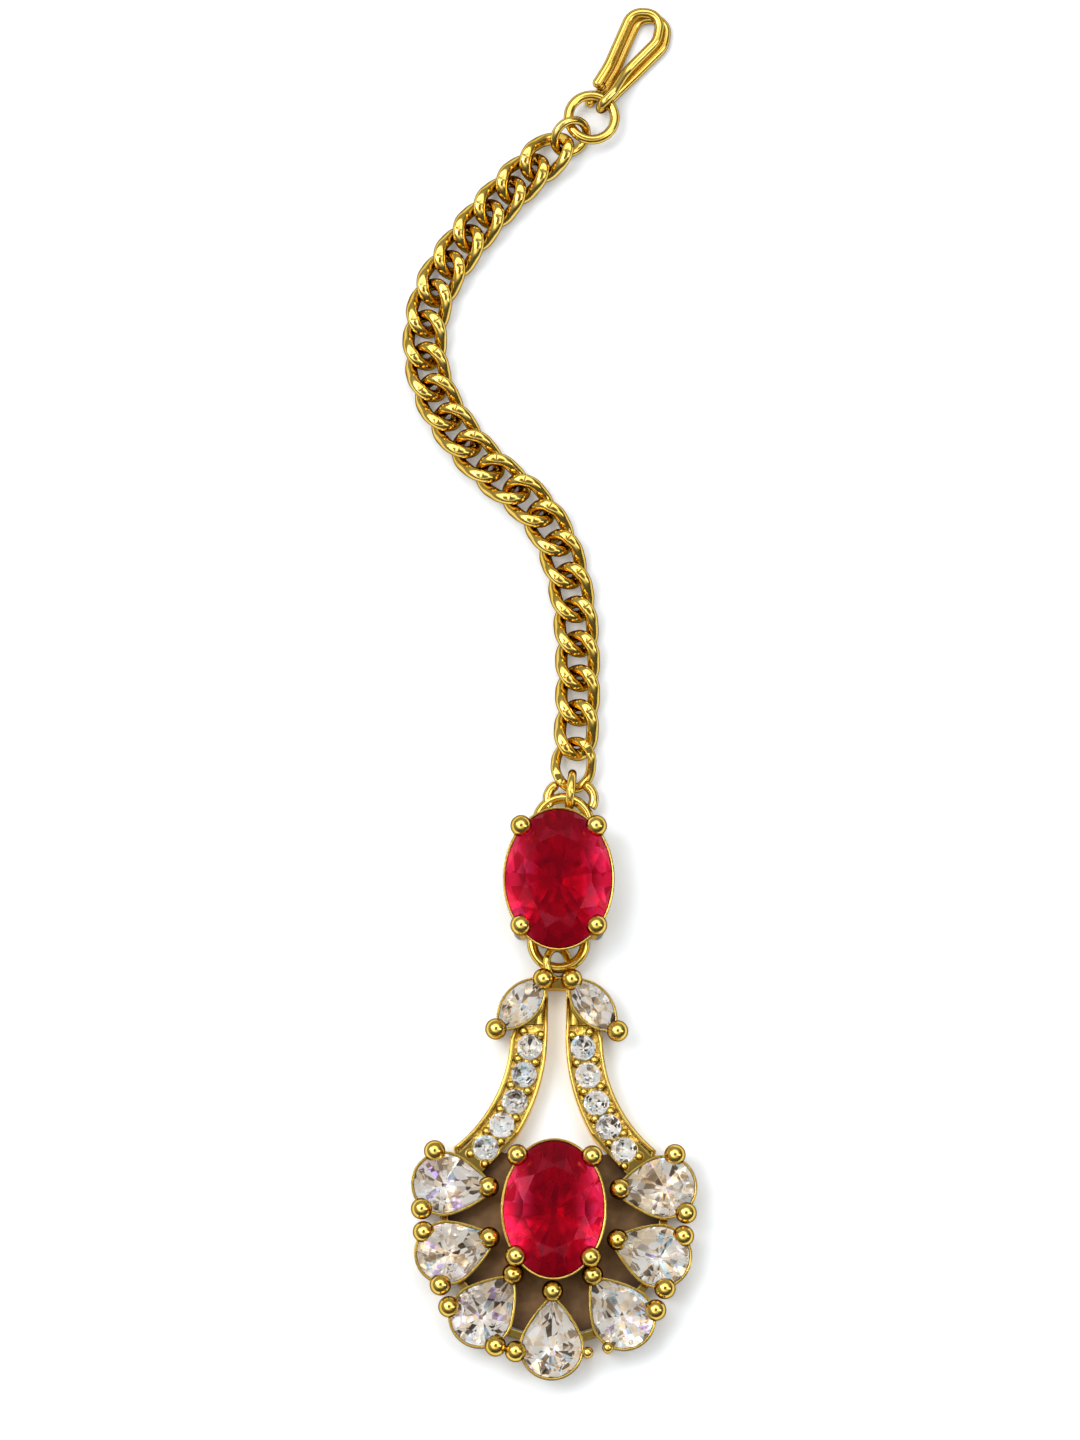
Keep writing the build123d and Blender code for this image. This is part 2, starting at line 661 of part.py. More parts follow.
with BuildPart() as arm:
    add(arm_outline())
    extrude(amount=ARM_TOP)
    with BuildSketch(Plane.XY.offset(ARM_FLOOR)):
        add(arm_channel())
    extrude(amount=ARM_TOP - ARM_FLOOR, mode=Mode.SUBTRACT)
    with Locations(*[(place.X, place.Y, ARM_FLOOR - BEAD_ROOT) for place in bead_places()]):
        Cylinder(BEAD, BEAD_TOP - ARM_FLOOR + BEAD_ROOT, align=(Align.CENTER, Align.CENTER, Align.MIN))
    with Locations(*[(place.X, place.Y, BEAD_TOP) for place in bead_places()]):
        Sphere(BEAD)

with BuildPart() as bridge_bar:
    Box(BRIDGE_LENGTH, BRIDGE_WIDTH, BRIDGE_TOP, align=(Align.CENTER, Align.CENTER, Align.MIN))

with BuildPart() as pendant_frame:
    # recessed back plate
    with BuildSketch():
        with Locations((0, PLATE_SHIFT)):
            Circle(PLATE_RADIUS)
        with Locations((0, PLATE_END)):
            Rectangle(WELL_CLEAR, WELL_CLEAR, align=(Align.CENTER, Align.MIN), mode=Mode.SUBTRACT)
    extrude(amount=PLATE_TOP)
    # collets
    add(lower_cup.moved(Location((0, 0, LOWER_RUBY.girdle_height))))
    for place in pear_places:
        add(pear_cup.moved(place))
    for place in marquise_places:
        add(marquise_cup.moved(place))
    # arms
    add(arm.part)
    add(mirror(arm.part, about=Plane.YZ))
    # bar and ring at the top
    with Locations((0, NECK_BAR_TOP_Y, NECK_BAR_BASE)):
        Box(*NECK_BAR, align=(Align.CENTER, Align.MAX, Align.MIN))
    with Locations(Location((0, EYE_PLACE_Y, BAIL_HEIGHT), (0, 1, 0), EYE_ROLL)):
        Torus(EYE_RADIUS, EYE_WIRE / 2)
    # prongs
    for post in ruby_prongs(LOWER_RUBY, LOWER_BALL_X):
        add(post)
    pear_ball = PEAR.girdle_height + PEAR_BALL_LIFT
    for petal in PETALS:
        for side in mirrored_sides(petal.fan_angle):
            foot = fan_point(side * petal.inner_angle, petal.inner_reach)
            add(prong(foot, (foot[0], foot[1], pear_ball)))
    for index, place in enumerate(OUTER_BALLS):
        for side in (-1, 1):
            foot = fan_point(side * place.fan_angle, place.reach)
            ball = SMALL_BALL if side == 1 and index < 2 else BALL
            add(prong(foot, (foot[0], foot[1], pear_ball), ball))
    marquise_ball = MARQUISE.girdle_height + PEAR_BALL_LIFT
    for side in (-1, 1):
        for x, y in MARQUISE_BALLS:
            add(prong((side * x, y, 0), (side * x, y, marquise_ball)))
    # bars between neighbouring pears
    for bridge in BRIDGES:
        for side in (-1, 1):
            x, y, _ = fan_point(side * bridge.fan_angle, bridge.reach)
            place = place_on(x, y, 0, side * bridge.fan_angle)
            add(bridge_bar.part.moved(place))
    # the stones' seats
    add(lower_seat.moved(Location((0, 0, LOWER_RUBY.girdle_height))), mode=Mode.SUBTRACT)
    for place in pear_places:
        add(pear_seat.moved(place), mode=Mode.SUBTRACT)
    for place in marquise_places:
        add(marquise_seat.moved(place), mode=Mode.SUBTRACT)
    for side in (-1, 1):
        for place in round_places[side]:
            add(round_seat.moved(place), mode=Mode.SUBTRACT)
    split(bisect_by=Plane.XY, keep=Keep.TOP)

drop_place = place_on(*DROP_PLACE, 0, DROP_LEAN)
finish(pendant_frame.part.moved(drop_place), "pendant_frame")
finish(lower_ruby_cut.moved(drop_place * Location((0, 0, LOWER_RUBY.girdle_height))), "lower_ruby")
for number, place in enumerate(pear_places, start=1):
    finish(pear_cut.moved(drop_place * place), f"pear_{number}")
for name, place in zip(("left", "right"), marquise_places):
    finish(marquise_cut.moved(drop_place * place), f"marquise_{name}")
for name, side in (("left", -1), ("right", 1)):
    with BuildPart() as row:
        for place in round_places[side]:
            add(round_cut.moved(place))
    finish(row.part.moved(drop_place), f"rounds_{name}")

# ---------------------------------------------------------------- shared origin and export
whole = Compound(children=[piece.moved(Location()) for piece in pieces]).bounding_box()
to_origin = Location((-whole.center().X, -whole.center().Y, -whole.min.Z))
print("size", whole.size, "shift", to_origin.position)
os.makedirs("parts", exist_ok=True)
for piece in pieces:
    placed = piece.moved(to_origin)
    placed.label = piece.label
    export_step(placed, f"parts/{piece.label}.step")
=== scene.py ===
# %% [markdown]
# # A maang tikka on a white table
# A maang tikka is a forehead jewel: a hook for the hair, a fine curb chain, one oval red stone
# in a setting of its own, and a fan-shaped drop with pear stones round a second red stone.
# The solids come ready made, in metres, each at its own place. This lesson keeps those places
# and gives the metal its soft shine and small worked details, and the stones their sparkle.

from math import cos, pi, radians, sin

import bmesh
import bpy
from mathutils import Matrix, Vector


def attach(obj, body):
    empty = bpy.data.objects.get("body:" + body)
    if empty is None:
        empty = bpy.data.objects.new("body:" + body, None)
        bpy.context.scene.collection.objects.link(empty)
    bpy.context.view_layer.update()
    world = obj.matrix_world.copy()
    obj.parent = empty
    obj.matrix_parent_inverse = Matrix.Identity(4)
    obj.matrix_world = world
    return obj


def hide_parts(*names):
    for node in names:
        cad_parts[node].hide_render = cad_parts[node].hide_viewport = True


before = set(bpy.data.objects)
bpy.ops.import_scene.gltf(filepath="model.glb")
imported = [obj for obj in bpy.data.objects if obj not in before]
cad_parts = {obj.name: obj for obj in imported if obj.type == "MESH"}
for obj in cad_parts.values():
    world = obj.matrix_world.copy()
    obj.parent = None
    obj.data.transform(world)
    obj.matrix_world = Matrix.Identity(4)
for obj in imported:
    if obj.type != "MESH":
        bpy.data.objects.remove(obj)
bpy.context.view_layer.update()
MM = 0.001

# %% [markdown]
# ## Helpers for the finishes
# Every finish on this jewel is a colour that drifts a little, a shine that drifts a little, and a
# darker tone: tarnish in gaps, with painted shade there and towards the outlines. Painted images could
# give that, but they blur when seen closely, and each solid would have to be unwrapped first. Here each
# value is worked out where it is needed instead, from noise. The noise reads object coordinates, which
# fix the pattern to its piece.


# %% A new material and its noise
def new_material(name):
    """An empty node material: the material, its nodes, its links and its main shader."""
    material = bpy.data.materials.new(name)
    material.use_nodes = True
    nodes, links = material.node_tree.nodes, material.node_tree.links
    return material, nodes, links, nodes["Principled BSDF"]


def object_noise(nodes, links, size_mm):
    """Noise whose blobs are about size_mm across, fixed to the piece."""
    place = nodes.new("ShaderNodeTexCoord")
    noise = nodes.new("ShaderNodeTexNoise")
    noise.inputs["Scale"].default_value = 1.0 / (size_mm * MM)
    links.new(place.outputs["Object"], noise.inputs["Vector"])
    return noise.outputs["Fac"]


print("materials before the first finish:", len(bpy.data.materials))

# %% Values and colours that follow the noise
NOISE_SPAN = (0.3, 0.7)  # noise seldom leaves this span
TONES_SPAN = (0.35, 0.65)  # a little narrower, so that both tones show in full


def ranged(nodes, links, source, before, after):
    """Stretches the span before of a value to the span after, and holds it there."""
    remap = nodes.new("ShaderNodeMapRange")
    remap.inputs["From Min"].default_value = before[0]
    remap.inputs["From Max"].default_value = before[1]
    remap.inputs["To Min"].default_value = after[0]
    remap.inputs["To Max"].default_value = after[1]
    links.new(source, remap.inputs["Value"])
    return remap.outputs["Result"]


def two_tones(nodes, links, source, first, second):
    """A colour that goes from first to second with the noise."""
    ramp = nodes.new("ShaderNodeValToRGB")
    for end, position, tone in zip(ramp.color_ramp.elements, TONES_SPAN, (first, second)):
        end.position = position
        end.color = (*tone, 1)
    links.new(source, ramp.inputs["Fac"])
    return ramp.outputs["Color"]


print("values are read from", NOISE_SPAN, "and tones from", TONES_SPAN)

# %% Skin that is uneven, over edges that look rounded
SOFT_EDGE = 0.11 * MM
EDGE_SAMPLES = 4


def uneven(nodes, links, shader, source, strength, depth_mm):
    """A shallow bump from the source, over edges that look rounded by SOFT_EDGE."""
    bump = nodes.new("ShaderNodeBump")
    bump.inputs["Strength"].default_value = strength
    bump.inputs["Distance"].default_value = depth_mm * MM
    links.new(source, bump.inputs["Height"])
    softened = nodes.new("ShaderNodeBevel")
    softened.samples = EDGE_SAMPLES
    softened.inputs["Radius"].default_value = SOFT_EDGE
    links.new(softened.outputs["Normal"], bump.inputs["Normal"])
    links.new(bump.outputs["Normal"], shader.inputs["Normal"])


print("edges look rounded by", SOFT_EDGE / MM, "mm")

# %% Darker in gaps and towards outlines: tarnish and painted shade
SHADE_SAMPLES = 6


def darkened(nodes, links, colour, source, start, full, dark):
    """The colour, turned towards dark as the source goes from start to full."""
    amount = nodes.new("ShaderNodeMapRange")
    amount.interpolation_type = "SMOOTHSTEP"
    amount.inputs["From Min"].default_value = start
    amount.inputs["From Max"].default_value = full
    links.new(source, amount.inputs["Value"])
    mix = nodes.new("ShaderNodeMixRGB")
    mix.inputs["Color2"].default_value = (*dark, 1)
    links.new(amount.outputs["Result"], mix.inputs["Fac"])
    links.new(colour, mix.inputs["Color1"])
    return mix.outputs["Color"]


def crevice(nodes, width_mm):
    """1 on open surface, falling towards 0 in gaps narrower than width_mm."""
    shade = nodes.new("ShaderNodeAmbientOcclusion")
    shade.samples = SHADE_SAMPLES
    shade.inputs["Distance"].default_value = width_mm * MM
    return shade.outputs["AO"]


print("gaps are felt for with", SHADE_SAMPLES, "samples")

# %% [markdown]
# ## Gold
# The real metal is brass under a thick, deep yellow gold plate, polished by tumbling. Polished
# gold has hardly any colour of its own in shadow: it shows the lamps and the dark gaps between
# them, tinted yellow. So the material is a plain metal with a low roughness. A fine noise makes
# the roughness and the surface uneven, as tumbling leaves a cast piece.
#
# The plate is not one clean yellow. Brown tarnish settles in narrow gaps, and the same brown there also
# stands in for the shade in them, as painted shade. A wire or a ball turns brown towards its outline,
# which is painted shade too. Such places could be painted by hand, but there are hundreds, so they are
# measured: Ambient Occlusion finds the gaps and Layer Weight finds the outline. The Specular Tint
# colours a glancing reflection, and on wires and balls it is brown too, which darkens the outline
# further as painted shade. Tall upright walls are seen almost edge on from above, where that brown
# would spread all over them, so they have a finish without the brown outline, and their glancing
# reflection is yellow.

# %% A gold finish
DRIFT_MM = 1.6  # size of the patches of paler and deeper gold
SMEAR_MM = 0.35  # size of the smoother and duller smears
OUTLINE_START = 0.34  # 0 faces the viewer, 1 is seen edge on
OUTLINE_FULL = 0.82
OUTLINE_SHADE_BROWN = (0.22, 0.12, 0.022)
GAP_START = 0.55  # 1 is open surface, 0 the bottom of a gap
GAP_FULL = 0.0
GAP_TARNISH_AND_SHADE = (0.24, 0.12, 0.022)
GLANCE_SHADE_BROWN = (0.22, 0.14, 0.05)
GLANCE_YELLOW = (1.0, 0.70, 0.17)


def make_gold(name, pale, deep, roughness, bump, grain_mm, depth_mm, gap_mm, outline_shade):
    """A gold finish; roughness is its lowest and highest value."""
    material, nodes, links, shader = new_material(name)
    shader.inputs["Metallic"].default_value = 1.0
    colour = two_tones(nodes, links, object_noise(nodes, links, DRIFT_MM), deep, pale)
    glance = GLANCE_SHADE_BROWN if outline_shade else GLANCE_YELLOW
    shader.inputs["Specular Tint"].default_value = (*glance, 1)
    if outline_shade:
        # painted shade: the colour turns brown towards the outline of wires and balls
        turned = nodes.new("ShaderNodeLayerWeight").outputs["Facing"]
        colour = darkened(nodes, links, colour, turned, OUTLINE_START, OUTLINE_FULL, OUTLINE_SHADE_BROWN)
    # tarnish and painted shade: the colour turns brown in narrow gaps and near the table
    colour = darkened(nodes, links, colour, crevice(nodes, gap_mm), GAP_START, GAP_FULL, GAP_TARNISH_AND_SHADE)
    links.new(colour, shader.inputs["Base Color"])
    smears = object_noise(nodes, links, SMEAR_MM)
    grain = object_noise(nodes, links, grain_mm)
    links.new(ranged(nodes, links, smears, NOISE_SPAN, roughness), shader.inputs["Roughness"])
    uneven(nodes, links, shader, grain, bump, depth_mm)
    return material


print("gold drifts over", DRIFT_MM, "mm")

# %% Polished gold, for wires, balls and rims
PALE_GOLD = (0.88, 0.62, 0.15)
DEEP_GOLD = (0.80, 0.53, 0.10)
gold = make_gold(
    "polished_gold", PALE_GOLD, DEEP_GOLD, roughness=(0.08, 0.15),
    bump=0.04, grain_mm=1.6, depth_mm=0.03, gap_mm=0.7, outline_shade=True,
)
print("made", gold.name)

# %% Grained gold, for the sunk beds of the arms
# Raising the small beads leaves the bed between them rough, so it glitters.
grained_gold = make_gold(
    "grained_gold", (0.96, 0.66, 0.15), (0.76, 0.46, 0.07), roughness=(0.22, 0.36),
    bump=0.9, grain_mm=0.30, depth_mm=0.10, gap_mm=0.25, outline_shade=True,
)
print("made", grained_gold.name)

# %% Wall gold, for posts and upright walls
# The polish reaches an upright wall less well, so it is a little duller.
wall_gold = make_gold(
    "wall_gold", PALE_GOLD, DEEP_GOLD, roughness=(0.12, 0.22),
    bump=0.04, grain_mm=1.6, depth_mm=0.03, gap_mm=0.3, outline_shade=False,
)
print("made", wall_gold.name)

# %% [markdown]
# ## Brown recess, painted shade
# Behind the pear stones lies a deep bed. Its dull, mottled brown is painted shade, standing for the
# deep shadow between the walls. It is a material of its own that is only part metal, and it is darkened
# nearly to black in the corners, also as painted shade.

# %% Dull brown in the recess, as painted shade
recess, nodes, links, shader = new_material("recess_painted_shade")
shader.inputs["Metallic"].default_value = 0.35
shader.inputs["Roughness"].default_value = 0.42
mottle = object_noise(nodes, links, size_mm=0.9)
brown = two_tones(nodes, links, mottle, first=(0.15, 0.075, 0.022), second=(0.22, 0.118, 0.040))
# painted shade: the bed turns nearly black in its corners
corners = crevice(nodes, width_mm=1.6)
brown = darkened(nodes, links, brown, corners, start=0.65, full=0.15, dark=(0.03, 0.016, 0.006))
links.new(brown, shader.inputs["Base Color"])
print("made", recess.name)

# %% [markdown]
# ## Stones
# The two large stones are crimson glass, the others clear zirconia. What makes a cut stone
# sparkle is light that bends on the way in, bounces off the facets below and comes out through
# another facet, so a stone needs flat facets, real depth and a clear crown. Zirconia bends
# light by 2.15, but 1.62 is used here: with the weaker bend more of the bright back shows.


# %% Clear crowns
def make_gem(name, bend, colour, shine):
    """The clear part of a stone; shine tints the lamps that it mirrors."""
    material, nodes, links, shader = new_material(name)
    shader.inputs["Transmission Weight"].default_value = 1.0
    shader.inputs["IOR"].default_value = bend
    shader.inputs["Roughness"].default_value = 0.0
    shader.inputs["Base Color"].default_value = (*colour, 1)
    shader.inputs["Specular Tint"].default_value = (*shine, 1)
    return material


ruby = make_gem("crimson_glass", 1.50, colour=(0.97, 0.012, 0.09), shine=(1.0, 0.18, 0.30))
clear = make_gem("clear_zirconia", 1.62, colour=(1.0, 0.975, 0.93), shine=(1, 1, 1))
print("made", ruby.name, clear.name)

# %% [markdown]
# ## Foiled backs
# A real stone throws light about inside until it leaves as many crisp little flashes. That could be
# worked out in full, but it takes very many rays. Jewellers of old laid bright foil behind a stone, and
# a similar trick works here: the facets that face down are a mirror in patches, each with its own tint.
# These tints are painted flashes, bright and dark painted reflections standing for the light inside a
# stone. A Voronoi pattern makes the patches, and a number stored on each facet shifts their tints. A
# faint glow, which is painted light, stands for the light that would still be bouncing about.


# %% Tints in bands
def stepped(nodes, links, source, stops):
    """One colour for each band of a 0 to 1 value; a stop is where its band starts."""
    bands = nodes.new("ShaderNodeValToRGB")
    bands.color_ramp.interpolation = "CONSTANT"
    elements = bands.color_ramp.elements
    elements.remove(elements[1])
    elements[0].position = stops[0][0]
    elements[0].color = (*stops[0][1], 1)
    for position, tint in stops[1:]:
        elements.new(position).color = (*tint, 1)
    links.new(source, bands.inputs["Fac"])
    return bands.outputs["Color"]


# Each stop is where a band starts, and its tint.
crimson_tints = [
    (0.0, (0.55, 0.10, 0.15)),
    (0.2, (0.85, 0.26, 0.36)),
    (0.5, (1.0, 0.45, 0.62)),
    (0.84, (1.0, 0.8, 0.95)),
]
pale_tints = [
    (0.0, (1.0, 1.0, 1.0)),
    (0.26, (1.0, 0.86, 0.66)),
    (0.40, (0.44, 0.33, 0.22)),
    (0.50, (1.0, 0.97, 0.92)),
    (0.72, (0.62, 0.82, 1.0)),
    (0.76, (0.92, 0.74, 0.52)),
    (0.88, (0.19, 0.14, 0.10)),
    (0.97, (0.72, 0.60, 1.0)),
]
cool_tints = [
    (0.0, (1.0, 1.0, 1.0)),
    (0.30, (0.84, 0.88, 0.92)),
    (0.42, (0.30, 0.28, 0.26)),
    (0.52, (1.0, 1.0, 1.0)),
    (0.76, (0.58, 0.82, 1.0)),
    (0.82, (0.12, 0.10, 0.09)),
    (0.90, (1.0, 0.88, 0.70)),
]
print("tints:", len(crimson_tints), len(pale_tints), len(cool_tints))


# %% Patches, each with a number of its own
def attribute(nodes, name):
    """A value that is stored on the piece's own mesh."""
    reader = nodes.new("ShaderNodeAttribute")
    reader.attribute_name = name
    return reader.outputs["Fac"]


def patches(nodes, links, size_mm):
    """A value from 0 to 1 for each patch of each facet."""
    place = nodes.new("ShaderNodeTexCoord")
    cells = nodes.new("ShaderNodeTexVoronoi")
    cells.inputs["Scale"].default_value = 1.0 / (size_mm * MM)
    links.new(place.outputs["Object"], cells.inputs["Vector"])
    random = nodes.new("ShaderNodeSeparateXYZ")
    links.new(cells.outputs["Color"], random.inputs["Vector"])
    total = nodes.new("ShaderNodeMath")
    total.operation = "ADD"
    links.new(random.outputs["X"], total.inputs[0])
    links.new(attribute(nodes, "glint"), total.inputs[1])
    wrapped = nodes.new("ShaderNodeMath")
    wrapped.operation = "FRACT"
    links.new(total.outputs["Value"], wrapped.inputs[0])
    return wrapped.outputs["Value"]


print("patches read the value glint from the facets")

# %% A foil of patches
FOIL_ROUGHNESS = 0.12
BAND_START = 0.82  # outward is 1 at a stone's sides and 0 on its middle line
BAND_FULL = 0.36


def make_foil(name, stops, patch_mm, mirror, glow, band=None):
    """The foil behind a stone; mirror is how metallic its patches are, from least to most."""
    material, nodes, links, shader = new_material(name)
    glint = patches(nodes, links, patch_mm)
    # painted reflections: each patch gets a tint that stands for a flash of light
    colour = stepped(nodes, links, glint, stops)
    # painted shade: a darker band down the stone's middle line
    if band:
        outward = attribute(nodes, "outward")
        colour = darkened(nodes, links, colour, outward, BAND_START, BAND_FULL, band)
    links.new(colour, shader.inputs["Base Color"])
    # painted light: the foil glows faintly in its own tints
    links.new(colour, shader.inputs["Emission Color"])
    shader.inputs["Emission Strength"].default_value = glow
    links.new(ranged(nodes, links, glint, NOISE_SPAN, mirror), shader.inputs["Metallic"])
    shader.inputs["Roughness"].default_value = FOIL_ROUGHNESS
    return material


# The red stones are darkened in a band down the middle as painted shade, and brightest at both sides.
crimson_foil = make_foil(
    "crimson_foil", crimson_tints, patch_mm=1.3, mirror=(0.35, 0.75), glow=0.24, band=(0.31, 0.02, 0.05)
)
pale_foil = make_foil("pale_foil", pale_tints, patch_mm=0.75, mirror=(0.10, 0.85), glow=0.09)
cool_foil = make_foil("cool_foil", cool_tints, patch_mm=0.42, mirror=(0.10, 0.85), glow=0.12)
print("made", crimson_foil.name, pale_foil.name, cool_foil.name)

# %% [markdown]
# ## Metal
# Each metal solid arrives as loose triangles, which would shine like a cut stone. A merged copy
# is shaded smooth, and only its real edges stay crisp. The solid itself could be given smooth
# shading, but its triangles don't share corners. Each copy also sorts its faces by finish: the
# two sunk floors of the drop are known by their height, and the tall walls by standing upright.

# %% Merged copies, and objects made of them
MERGE_DISTANCE = 0.0005 * MM


def merged_copy(node):
    """A bmesh of a solid whose triangles share their corners."""
    shape = bmesh.new()
    shape.from_mesh(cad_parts[node].data)
    bmesh.ops.remove_doubles(shape, verts=shape.verts, dist=MERGE_DISTANCE)
    return shape


def placed(name, shape, materials):
    """Turns a bmesh into an object of the scene, where its corners say."""
    mesh = bpy.data.meshes.new(name)
    shape.to_mesh(mesh)
    shape.free()
    for material in materials:
        mesh.materials.append(material)
    piece = bpy.data.objects.new(name, mesh)
    bpy.context.scene.collection.objects.link(piece)
    return piece


print("corners closer than", MERGE_DISTANCE / MM, "mm become one")

# %% Faces sorted by finish
BEDS = {0.55: recess, 1.32: grained_gold}  # heights of the drop's sunk floors, in mm
BED_SLACK = 0.01 * MM
FLAT = 0.9  # a floor's normal points up by more than this
UPRIGHT = 0.02  # a wall's normal points up or down by less than this
WALL_HEIGHT = 0.8 * MM  # walls higher than this get the wall gold


def is_bed(face, level):
    return face.normal.z > FLAT and abs(face.calc_center_median().z - level * MM) < BED_SLACK


def is_wall(face):
    heights = [vert.co.z for vert in face.verts]
    return abs(face.normal.z) < UPRIGHT and max(heights) - min(heights) > WALL_HEIGHT


print("sunk floors at", list(BEDS), "mm, walls higher than", WALL_HEIGHT / MM, "mm")

# %% Smooth copies of the metal
CREASE = radians(34.0)


def polished_copy(node, beds):
    """A smooth copy of a solid, crisp where faces meet at more than CREASE."""
    shape = merged_copy(node)
    for face in shape.faces:
        face.smooth = True
        for number, level in enumerate(beds, start=1):
            if is_bed(face, level):
                face.material_index = number
        if is_wall(face):
            face.material_index = len(beds) + 1
    for edge in shape.edges:
        edge.smooth = edge.calc_face_angle(pi) < CREASE
    piece = placed(node + "_polished", shape, (gold, *beds.values(), wall_gold))
    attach(piece, "root")
    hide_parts(node)


metal_nodes = ["hook", "top_ring", "neck_ring", "drop_ring", "upper_setting", "pendant_frame"]
metal_nodes += [f"link_{number:02d}" for number in range(1, 23)]
for node in metal_nodes:
    polished_copy(node, BEDS if node == "pendant_frame" else {})
print("polished", len(metal_nodes), "metal pieces")

# %% [markdown]
# ## Cut stones
# A cutter leaves each facet flat, so the stones are the pieces here that mustn't be smoothed. A
# merged copy joins the triangles of a facet into one flat face. New stones could be cut instead,
# but these already have their facets. Two values are stored for the foil: glint is a different
# number for each facet, and outward tells how far a corner lies from the stone's middle line.

# %% The red stones keep their own facets
SAME_FACET = radians(1.0)
BACK = -0.1  # a facet whose normal points down by more than this is foiled
FACET_SHIFT = 0.618  # from one facet to the next, so that neighbours differ
STONE_SHIFT = 0.37


def foiled_stone(node, crown, foil, seed):
    """A merged copy of a stone: clear above, and mirrored on the facets that face down."""
    shape = merged_copy(node)
    bmesh.ops.dissolve_limit(
        shape, angle_limit=SAME_FACET, verts=shape.verts, edges=shape.edges, delimit=set()
    )
    glint = shape.faces.layers.float.new("glint")
    outward = shape.verts.layers.float.new("outward")
    middle = sum(vert.co.x for vert in shape.verts) / len(shape.verts)
    reach = max(abs(vert.co.x - middle) for vert in shape.verts)
    for vert in shape.verts:
        vert[outward] = abs(vert.co.x - middle) / reach
    for number, face in enumerate(shape.faces):
        face.smooth = False
        face.material_index = 1 if face.normal.z < BACK else 0
        face[glint] = (number * FACET_SHIFT + seed * STONE_SHIFT) % 1.0
    print(node, len(shape.faces), "facets")
    piece = placed(node + "_cut", shape, (crown, foil))
    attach(piece, "root")
    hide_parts(node)


for seed, node in enumerate(("upper_ruby", "lower_ruby")):
    foiled_stone(node, ruby, crimson_foil, seed)

# %% The clear stones, the small rounds with a cooler foil
clear_nodes = ["marquise_left", "marquise_right", "rounds_left", "rounds_right"]
clear_nodes += [f"pear_{number}" for number in range(1, 8)]
for seed, node in enumerate(clear_nodes):
    foil = cool_foil if node.startswith("rounds") else pale_foil
    foiled_stone(node, clear, foil, seed)

# %% [markdown]
# ## Rims on the arms
# A goldsmith leaves a thin bright rim along both edges of a pave bed. It could be a curve with
# a round bevel, but then its ends and joints need care. Here each rim is a small circle, drawn
# out straight beside the head of the arm and then spun about the centre of the arm's own curve,
# so it follows the edge exactly. The right arm's rims are made first, in the drop's own axes,
# and mirrored for the left arm.

# %% The drop's own axes
DROP_PLACE = Vector((0.404, -38.969, 0)) * MM
DROP_LEAN = -0.93
to_drop = Matrix.Translation(DROP_PLACE) @ Matrix.Rotation(radians(DROP_LEAN), 4, "Z")
ARM_TOP = 1.80 * MM


def both_arms(shape, name):
    """Mirrors what was made for the right arm, and hands both over."""
    right_arm = shape.verts[:] + shape.edges[:] + shape.faces[:]
    bmesh.ops.mirror(shape, geom=right_arm, axis="X", merge_dist=-1)
    bmesh.ops.recalc_face_normals(shape, faces=shape.faces)
    bmesh.ops.transform(shape, matrix=to_drop, verts=shape.verts)
    for face in shape.faces:
        face.smooth = True
    piece = placed(name, shape, (gold,))
    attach(piece, "root")
    print("made", name, len(piece.data.polygons), "faces")


print("the drop leans by", DROP_LEAN, "degrees")

# %% A rim along one edge
RIM_WIRE = 0.115 * MM
RIM_STEPS = 32


def rim_along(shape, lead, centre, radius, first, last):
    """A thin wire from the lead point, then along an arc; lengths in mm, angles in degrees."""
    start = Vector((cos(radians(first)), sin(radians(first)), 0)) * radius * MM
    start += Vector((*centre, 0)) * MM
    lead = Vector((*lead, 0)) * MM
    upright = (start - lead).to_track_quat("Z", "Y").to_matrix().to_4x4()
    ring = bmesh.ops.create_circle(
        shape, segments=10, radius=RIM_WIRE, cap_ends=True, matrix=Matrix.Translation(lead) @ upright
    )["verts"]
    edges = [edge for edge in shape.edges if all(vert in ring for vert in edge.verts)]
    straight = bmesh.ops.extrude_edge_only(shape, edges=edges)["geom"]
    front = [item for item in straight if isinstance(item, bmesh.types.BMVert)]
    bmesh.ops.translate(shape, vec=start - lead, verts=front)
    edges = [item for item in straight if isinstance(item, bmesh.types.BMEdge)]
    edges = [edge for edge in edges if all(vert in front for vert in edge.verts)]
    swept = bmesh.ops.spin(
        shape, geom=edges, cent=(centre[0] * MM, centre[1] * MM, 0), axis=(0, 0, 1),
        angle=radians(last - first), steps=RIM_STEPS, use_duplicate=False,
    )
    end = [item for item in swept["geom_last"] if isinstance(item, bmesh.types.BMVert)]
    bmesh.ops.contextual_create(shape, geom=end)


print("a rim is a wire", 2 * RIM_WIRE / MM, "mm thick")

# %% Bright rims
INNER_CENTRE = (15.13, 12.93)  # the arm's edge beside the slot is an arc about this point
INNER_RADIUS = 14.47
OUTER_CENTRE = (14.04, 12.84)
OUTER_RADIUS = 10.69
RIM_INSET = 0.13  # from the arm's edge to the middle of the wire
rims = bmesh.new()
rim_along(rims, (0.80, 15.55), INNER_CENTRE, INNER_RADIUS - RIM_INSET, first=181.3, last=211.0)
rim_along(rims, (2.86, 13.52), OUTER_CENTRE, OUTER_RADIUS + RIM_INSET, first=182.5, last=230.5)
bmesh.ops.translate(rims, vec=(0, 0, ARM_TOP), verts=rims.verts)
both_arms(rims, "arm_rims")

# %% [markdown]
# ## Engraving on the arms
# Where the bed ends, the goldsmith cuts a fan of fine lines into the head of each arm. Cutting
# grooves into the solid would need a very fine mesh. Seen from above, what shows is the bright
# ridge between two grooves, so each line is a slim tapered rod, half sunk into the metal.

